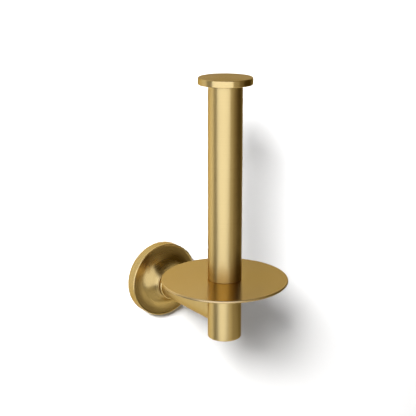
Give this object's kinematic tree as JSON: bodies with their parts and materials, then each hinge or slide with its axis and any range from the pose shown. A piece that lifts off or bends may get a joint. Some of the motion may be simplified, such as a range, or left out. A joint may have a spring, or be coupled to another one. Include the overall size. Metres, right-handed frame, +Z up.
{
  "type": "toilet paper holder",
  "caption": "Wall-mounted upright toilet paper holder: a capped post and round tray on an arm from a bell-shaped flange.",
  "frame": {"origin": "centre of the wall bracket's back face, which lies on the wall together with the flange's rim", "axes": "+Z up along the post, +Y into the wall, -Y out into the room along the arm, +X to the right of someone facing the wall"},
  "size_m": [0.0826, 0.1198, 0.1802],
  "materials": {
    "brushed_brass": "satin brushed, lacquered",
    "bare_brass": "machined, unpolished",
    "zinc_plate": "zinc plated",
    "steel_hardware": "plain stainless",
    "dark_steel": "black oxide",
    "nylon": "natural nylon"
  },
  "bodies": {
    "root": {"wall_bracket": "zinc_plate", "flange": "brushed_brass", "flange_set_screw": "dark_steel", "arm_plain_washer": "steel_hardware", "arm_spring_washer": "steel_hardware", "arm_bolt": "steel_hardware", "neck_ring": "brushed_brass", "arm_base_insert": "bare_brass", "arm_tube": "brushed_brass", "arm_end_insert": "bare_brass", "arm_stud": "steel_hardware", "barrel": "brushed_brass", "post_stud": "steel_hardware", "tray_lower_washer": "nylon", "tray": "brushed_brass", "tray_upper_washer": "nylon", "post_tube": "brushed_brass", "tube_lower_insert": "bare_brass", "tube_upper_insert": "bare_brass", "cap_stud": "steel_hardware", "cap": "brushed_brass"}
  },
  "joints": []
}
